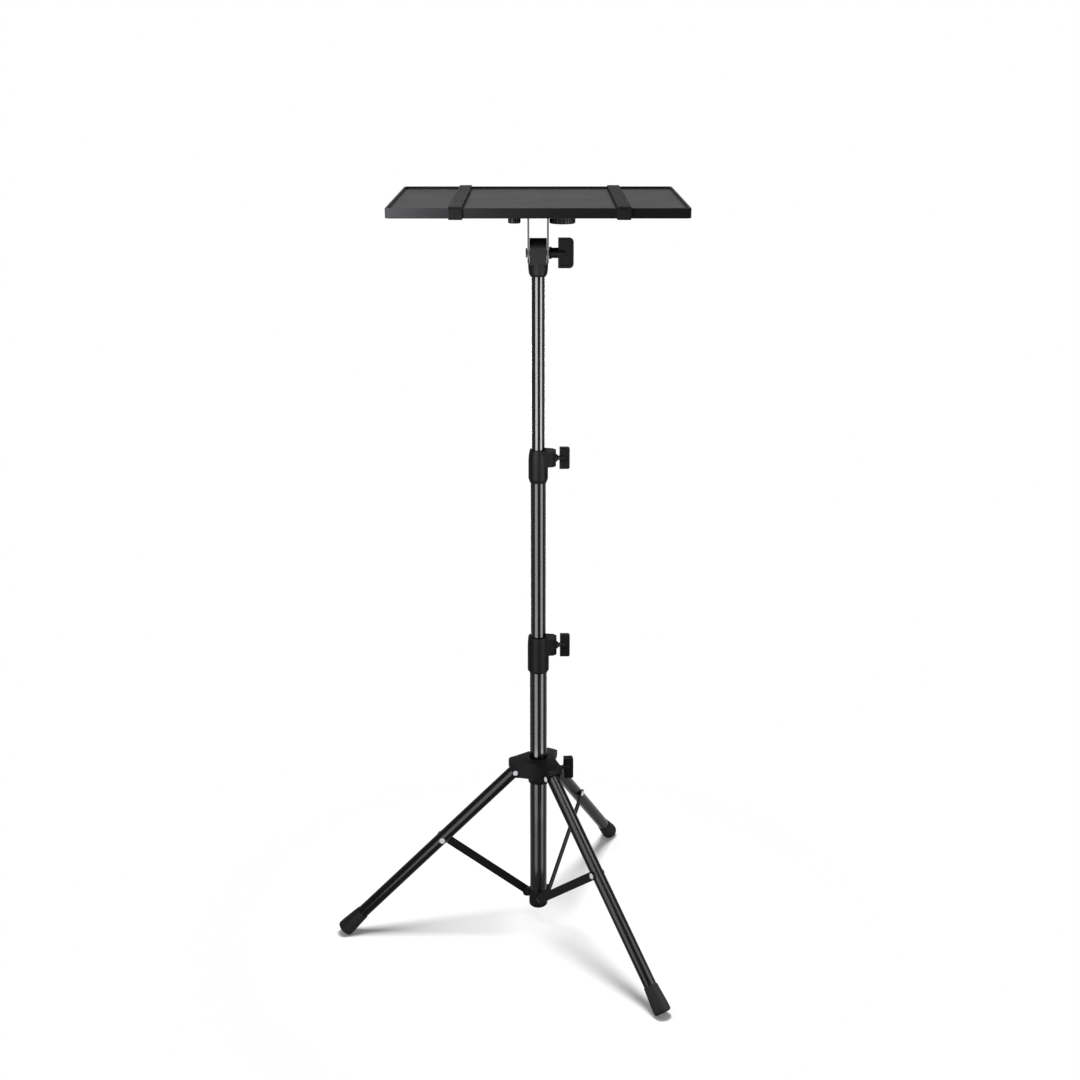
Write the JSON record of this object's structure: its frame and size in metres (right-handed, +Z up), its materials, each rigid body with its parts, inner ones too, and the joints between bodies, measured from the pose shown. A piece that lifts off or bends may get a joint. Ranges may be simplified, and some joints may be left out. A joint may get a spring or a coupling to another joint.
{
  "type": "portable projector stand",
  "caption": "Folding tripod stand with a telescoping mast, a tilting lipped tray for a projector and webbing straps to tie it down.",
  "frame": {"origin": "on the floor, under the middle of the stand's outline", "axes": "+Z up along the mast; +X along the tray's width, towards the thumb screws; -Y towards the viewer of the picture"},
  "size_m": [0.4272, 0.4594, 0.9549],
  "materials": {
    "tube_paint": "gloss black paint on steel tube",
    "moulded_plastic": "satin black moulded plastic",
    "grip_plastic": "satin black moulded grips",
    "brace_steel": "black painted flat steel",
    "rivet_steel": "bright zinc plate",
    "screw_steel": "blackened steel",
    "bracket_steel": "dark grey painted steel",
    "foot_rubber": "black rubber",
    "tray_plastic": "fine-grained charcoal plastic",
    "strap_webbing": "black woven webbing"
  },
  "bodies": {
    "column": {"lower_tube": "tube_paint", "lower_clamp": "moulded_plastic", "bottom_collar": "moulded_plastic", "collar_rivet_left": "screw_steel", "collar_rivet_front": "screw_steel", "collar_rivet_rear": "screw_steel"},
    "hub": {"hub": "moulded_plastic", "hub_rivet_left": "rivet_steel", "hub_rivet_front": "rivet_steel", "hub_rivet_rear": "rivet_steel"},
    "hub_thumb_screw": {"hub_screw": "screw_steel", "hub_knob": "grip_plastic"},
    "lower_thumb_screw": {"lower_screw": "screw_steel", "lower_knob": "grip_plastic"},
    "middle_mast": {"middle_tube": "tube_paint", "upper_clamp": "moulded_plastic"},
    "upper_thumb_screw": {"upper_screw": "screw_steel", "upper_knob": "grip_plastic"},
    "upper_mast": {"upper_tube": "tube_paint"},
    "head": {"tilt_head": "moulded_plastic", "tilt_bolt": "screw_steel"},
    "tilt_grip": {"tilt_knob": "grip_plastic"},
    "tray": {"tray": "tray_plastic", "tilt_bracket": "bracket_steel", "left_hand_nut": "moulded_plastic", "right_hand_nut": "moulded_plastic", "left_strap": "strap_webbing", "right_strap": "strap_webbing"},
    "leg_left": {"leg_left": "tube_paint", "foot_left": "foot_rubber", "leg_rivet_left": "rivet_steel"},
    "brace_left": {"brace_left": "brace_steel", "brace_rivet_left": "rivet_steel"},
    "leg_front": {"leg_front": "tube_paint", "foot_front": "foot_rubber", "leg_rivet_front": "rivet_steel"},
    "brace_front": {"brace_front": "brace_steel", "brace_rivet_front": "rivet_steel"},
    "leg_rear": {"leg_rear": "tube_paint", "foot_rear": "foot_rubber", "leg_rivet_rear": "rivet_steel"},
    "brace_rear": {"brace_rear": "brace_steel", "brace_rivet_rear": "rivet_steel"}
  },
  "joints": [
    {"name": "hub_slide", "type": "slide", "parent": "column", "child": "hub", "axis": [0, 0, 1], "range_m": [0, 0.09268]},
    {"name": "leg_left_hinge", "type": "hinge", "parent": "hub", "child": "leg_left", "pos_m": [0.01972, -0.01574, 0.22754], "axis": [0.1011, -0.9949, 0], "range_deg": [-0.1, 42.9]},
    {"name": "brace_left_hinge", "type": "hinge", "parent": "column", "child": "brace_left", "pos_m": [0.03464, -0.01423, 0.04482], "axis": [-0.1011, 0.9949, 0], "range_deg": [-0.1, 42.68]},
    {"name": "leg_front_hinge", "type": "hinge", "parent": "hub", "child": "leg_front", "pos_m": [0.06711, -0.03704, 0.22754], "axis": [0.8111, 0.585, 0], "range_deg": [-0.1, 42.9]},
    {"name": "brace_front_hinge", "type": "hinge", "parent": "column", "child": "brace_front", "pos_m": [0.05834, -0.02488, 0.04482], "axis": [-0.8111, -0.585, 0], "range_deg": [-0.1, 42.68]},
    {"name": "leg_rear_hinge", "type": "hinge", "parent": "hub", "child": "leg_rear", "pos_m": [0.06186, 0.01465, 0.22754], "axis": [-0.9121, 0.4099, 0], "range_deg": [-0.1, 42.9]},
    {"name": "brace_rear_hinge", "type": "hinge", "parent": "column", "child": "brace_rear", "pos_m": [0.05571, 0.00097, 0.04482], "axis": [0.9121, -0.4099, 0], "range_deg": [-0.1, 42.68]},
    {"name": "hub_screw_turn", "type": "hinge", "parent": "hub", "child": "hub_thumb_screw", "pos_m": [0.04956, -0.01271, 0.22804], "axis": [0.9949, 0.1011, 0], "continuous": true},
    {"name": "lower_screw_turn", "type": "hinge", "parent": "column", "child": "lower_thumb_screw", "pos_m": [0.04956, -0.01271, 0.40032], "axis": [1, 0, 0], "continuous": true},
    {"name": "middle_slide", "type": "slide", "parent": "column", "child": "middle_mast", "axis": [0, 0, 1], "range_m": [-0.19, 0.1]},
    {"name": "upper_screw_turn", "type": "hinge", "parent": "middle_mast", "child": "upper_thumb_screw", "pos_m": [0.04956, -0.01271, 0.64382], "axis": [1, 0, 0], "continuous": true},
    {"name": "upper_slide", "type": "slide", "parent": "middle_mast", "child": "upper_mast", "axis": [0, 0, 1], "range_m": [-0.2, 0.12]},
    {"name": "head_swivel", "type": "hinge", "parent": "upper_mast", "child": "head", "pos_m": [0.04956, -0.01271, 0.86232], "axis": [0, 0, 1], "continuous": true},
    {"name": "tray_tilt", "type": "hinge", "parent": "head", "child": "tray", "pos_m": [0.04956, -0.01271, 0.88932], "axis": [1, 0, 0], "range_deg": [-45, 45]},
    {"name": "tilt_screw_turn", "type": "hinge", "parent": "head", "child": "tilt_grip", "pos_m": [0.04956, -0.01271, 0.88932], "axis": [1, 0, 0], "continuous": true}
  ],
  "couplings": [
    {"joint": "leg_left_hinge", "follows": "hub_slide", "rad_per_m": 8.06},
    {"joint": "brace_left_hinge", "follows": "hub_slide", "rad_per_m": 8.0194},
    {"joint": "leg_front_hinge", "follows": "hub_slide", "rad_per_m": 8.06},
    {"joint": "brace_front_hinge", "follows": "hub_slide", "rad_per_m": 8.0194},
    {"joint": "leg_rear_hinge", "follows": "hub_slide", "rad_per_m": 8.06},
    {"joint": "brace_rear_hinge", "follows": "hub_slide", "rad_per_m": 8.0194}
  ]
}
